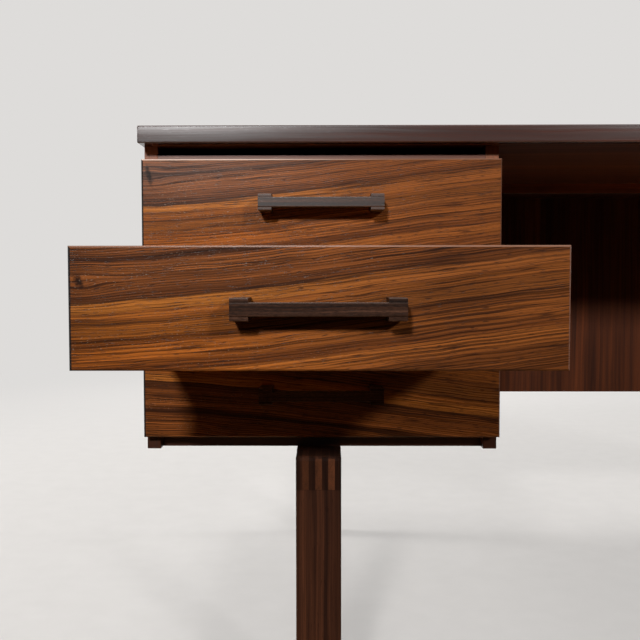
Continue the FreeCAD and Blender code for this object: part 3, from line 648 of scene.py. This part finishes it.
def screw_head(shape, place, turn):
    """A domed, slotted screw head that faces the back and whose slot is turned by some degrees."""
    rings = []

    def ring(outline, rise):
        spots = []
        for step in range(HEAD_STEPS):
            angle = step * math.tau / HEAD_STEPS
            reach = outline(angle)
            height = rise if rise is not None else DOME_HEIGHT - DOME_FALL * reach ** 2
            side = Vector((reach * math.cos(angle), height, reach * math.sin(angle)))
            side.rotate(Matrix.Rotation(math.radians(turn), 3, "Y"))
            spots.append(shape.verts.new(place + side / MM))
        if rings:
            for step in range(HEAD_STEPS):
                after = (step + 1) % HEAD_STEPS
                shape.faces.new((rings[-1][step], spots[step], spots[after], rings[-1][after]))
        rings.append(spots)

    def slot(angle):
        return min(SLOT_HALF_WIDTH / max(abs(math.sin(angle)), 0.001), SLOT_HALF_LENGTH)

    for reach, rise in HEAD_RINGS:
        ring(lambda angle, reach=reach: reach, rise)
    ring(slot, None)
    ring(slot, SLOT_FLOOR)
    shape.faces.new(rings[0])
    shape.faces.new(reversed(rings[-1]))


def handle_screws(drawer):
    """Two screws through a drawer's front into its handle's blocks, seen from inside the drawer."""
    low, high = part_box(drawer + "_front")
    bar_low, bar_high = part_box(drawer + "_handle")
    shape = bmesh.new()
    for x, turn in zip((bar_low.x + SCREW_INSET, bar_high.x - SCREW_INSET), SCREW_TURNS):
        screw_head(shape, Vector((x, high.y, (low.z + high.z) / 2)), turn)
    bmesh.ops.recalc_face_normals(shape, faces=shape.faces)
    mesh = bpy.data.meshes.new(drawer + "_handle_screws")
    shape.to_mesh(mesh)
    shape.free()
    piece = bpy.data.objects.new(drawer + "_handle_screws", mesh)
    bpy.context.scene.collection.objects.link(piece)
    mesh.materials.append(steel)
    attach(piece, drawer)


for side in SIDES:
    for level in LEVELS:
        handle_screws(f"{side}_{level}_drawer")


# Floor, in metres, and in millimetres where it fades into the background
BACKGROUND = tone(222, 220, 218)
FLOOR_RADIUS = 30
FLOOR_SEGMENTS = 96
FLOOR_DROP = 0.0005
FADE_START, FADE_END = 1500.0, 4200.0
# Dark and light tones of its flecks: as the camera sees it, and as it lights the desk from under and before
FLOOR_SEEN = ((150, 147, 144), (156, 153, 150))
FLOOR_UNDER = ((158, 132, 100), (166, 140, 106))
FLOOR_BEFORE = ((70, 58, 46), (76, 64, 50))


def floor_finish():
    """A pale floor that keeps the desk's shadow near it and fades into the background."""
    f = Finish("studio_floor")
    light = f.add("ShaderNodeLightPath")
    mirrored = f.math("MAXIMUM", light.outputs["Is Glossy Ray"], light.outputs["Is Transmission Ray"])
    seen = f.math("MAXIMUM", light.outputs["Is Camera Ray"], f.times(mirrored, f.step(f.y, -300.0, 900.0)))
    far = f.step(f.math("SQRT", f.total(f.square(f.x), f.square(f.y))), FADE_START, FADE_END)
    fine = f.noise(f.times(f.x, 0.02), f.times(f.y, 0.02), 0.0, detail=3.0)
    pale, under, before = (f.ramp(fine, 0.2, 0.8, ((0.2, dark), (0.8, bright)))
                           for dark, bright in (FLOOR_SEEN, FLOOR_UNDER, FLOOR_BEFORE))
    lit = f.mix(f.step(f.y, -900.0, -200.0), before, under)
    near = f.add("ShaderNodeBsdfDiffuse")
    f.feed(near.inputs["Color"], f.mix(seen, lit, pale))
    nothing = f.add("ShaderNodeBsdfDiffuse")
    f.feed(nothing.inputs["Color"], (0, 0, 0, 1))
    keep = f.add("ShaderNodeMixShader")
    for socket, value in zip(keep.inputs, (far, near.outputs[0], nothing.outputs[0])):
        f.feed(socket, value)
    glow = f.add("ShaderNodeEmission")
    f.feed(glow.inputs["Color"], BACKGROUND)
    f.feed(glow.inputs["Strength"], f.times(seen, f.math("MULTIPLY_ADD", far, 0.55, 0.45)))
    both = f.add("ShaderNodeAddShader")
    f.feed(both.inputs[0], keep.outputs[0])
    f.feed(both.inputs[1], glow.outputs[0])
    end = f.add("ShaderNodeOutputMaterial")
    f.feed(end.inputs[0], both.outputs[0])
    return f.material


def floor():
    """A round floor that lies a hair under the glides."""
    shape = bmesh.new()
    bmesh.ops.create_circle(shape, cap_ends=True, segments=FLOOR_SEGMENTS, radius=FLOOR_RADIUS)
    mesh = bpy.data.meshes.new("studio_floor")
    shape.to_mesh(mesh)
    shape.free()
    piece = bpy.data.objects.new("studio_floor", mesh)
    bpy.context.scene.collection.objects.link(piece)
    piece.data.materials.append(floor_finish())
    piece.location.z = -FLOOR_DROP


# World: its own weak light, and how far to the back the pale background starts to show in reflections
AROUND_COLOUR = (1, 0.97, 0.94, 1)
AROUND_STRENGTH = 0.008
MIRRORED_FROM, MIRRORED_TO = -0.5, 0.4


def world():
    """Weak light from all around, and a pale background for what the camera sees directly."""
    sky = bpy.data.worlds.new("studio")
    bpy.context.scene.world = sky
    sky.use_nodes = True
    tree = sky.node_tree
    tree.nodes.clear()

    def joined(operation, first, second):
        node = tree.nodes.new("ShaderNodeMath")
        node.operation = operation
        tree.links.new(first, node.inputs[0])
        tree.links.new(second, node.inputs[1])
        return node.outputs[0]

    around = tree.nodes.new("ShaderNodeBackground")
    around.inputs["Color"].default_value = AROUND_COLOUR
    around.inputs["Strength"].default_value = AROUND_STRENGTH
    behind = tree.nodes.new("ShaderNodeBackground")
    behind.inputs["Color"].default_value = BACKGROUND
    light = tree.nodes.new("ShaderNodeLightPath")
    place = tree.nodes.new("ShaderNodeTexCoord")
    split = tree.nodes.new("ShaderNodeSeparateXYZ")
    tree.links.new(place.outputs["Generated"], split.inputs[0])
    side = tree.nodes.new("ShaderNodeMapRange")
    side.interpolation_type = "SMOOTHSTEP"
    tree.links.new(split.outputs[1], side.inputs["Value"])
    side.inputs["From Min"].default_value = MIRRORED_FROM
    side.inputs["From Max"].default_value = MIRRORED_TO
    mirrored = joined("MAXIMUM", light.outputs["Is Glossy Ray"], light.outputs["Is Transmission Ray"])
    seen = joined("MAXIMUM", light.outputs["Is Camera Ray"], joined("MULTIPLY", mirrored, side.outputs[0]))
    mix = tree.nodes.new("ShaderNodeMixShader")
    for socket, value in zip(mix.inputs, (seen, around.outputs[0], behind.outputs[0])):
        tree.links.new(value, socket)
    end = tree.nodes.new("ShaderNodeOutputWorld")
    tree.links.new(mix.outputs[0], end.inputs[0])


# Each lamp's place and target in metres, power in watts and width in metres
LAMPS = {
    "key_left": ((-2.6, -10.35, 4.8), (-0.6, -0.35, 0.55), 900, 1.1),
    "key_right": ((5.7, -10.35, 4.85), (-0.6, -0.35, 0.55), 545, 1.1),
    "above": ((-0.9, 0.2, 3.6), (-0.3, 0.1, 0.5), 40, 1.2),
    "side_left": ((-4.2, 0.9, 1.9), (0, 0.2, 0.4), 110, 1.2),
    "side_right": ((4.2, 0.9, 1.9), (0, 0.2, 0.4), 110, 1.2),
    "behind": ((-0.8, 4.4, 2.0), (0, 0.4, 0.4), 130, 1.2),
}


def lamp(name, place, target, power, width):
    """A round soft lamp that points at a target."""
    data = bpy.data.lights.new(name, "AREA")
    data.shape = "DISK"
    data.size = width
    data.energy = power
    piece = bpy.data.objects.new(name, data)
    piece.location = place
    piece.rotation_euler = (Vector(target) - Vector(place)).to_track_quat("-Z", "Y").to_euler()
    bpy.context.scene.collection.objects.link(piece)


floor()
world()
for name, settings in LAMPS.items():
    lamp(name, *settings)

# The camera that was fitted to the photograph: metres, degrees, and pixels of its picture
CAMERA_PLACE = (-0.5947, -1.2943, 0.5461)
CAMERA_TURNS = (87.126, 0.062, 0.508)
CAMERA_SENSOR = 36
CAMERA_FOCAL_PIXELS, PICTURE_PIXELS = 872.6, 640
CAMERA_NEAREST = 0.05

camera = bpy.data.objects.new("camera", bpy.data.cameras.new("camera"))
bpy.context.scene.collection.objects.link(camera)
camera.location = CAMERA_PLACE
camera.rotation_euler = [math.radians(turn) for turn in CAMERA_TURNS]
camera.data.sensor_width = CAMERA_SENSOR
camera.data.lens = CAMERA_FOCAL_PIXELS * CAMERA_SENSOR / PICTURE_PIXELS
camera.data.clip_start = CAMERA_NEAREST
bpy.context.scene.camera = camera
bpy.context.scene.view_settings.view_transform = "Standard"
